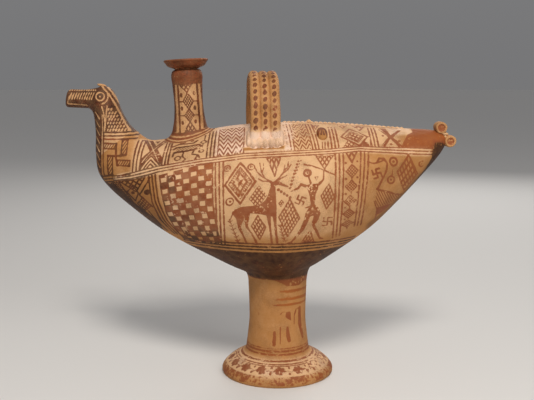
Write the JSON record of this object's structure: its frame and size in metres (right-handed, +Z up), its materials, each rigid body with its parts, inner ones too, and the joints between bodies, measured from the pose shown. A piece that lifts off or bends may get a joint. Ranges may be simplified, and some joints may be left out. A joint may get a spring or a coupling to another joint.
{
  "type": "bird askos",
  "caption": "Hollow painted clay askos shaped as a long-bodied bird on a pedestal foot, with an upright spout, a coiled handle arching across its back and a forked tail.",
  "frame": {"origin": "on the table, below the middle of the vessel's length and width", "axes": "+X from the bill to the tail, +Y away from the painted front, +Z up"},
  "size_m": [0.4208, 0.17, 0.3457],
  "materials": {
    "painted_clay": "matt fired clay, cream-buff slip painted in dark brown to orange-brown"
  },
  "bodies": {
    "root": {"askos": "painted_clay"}
  },
  "joints": []
}
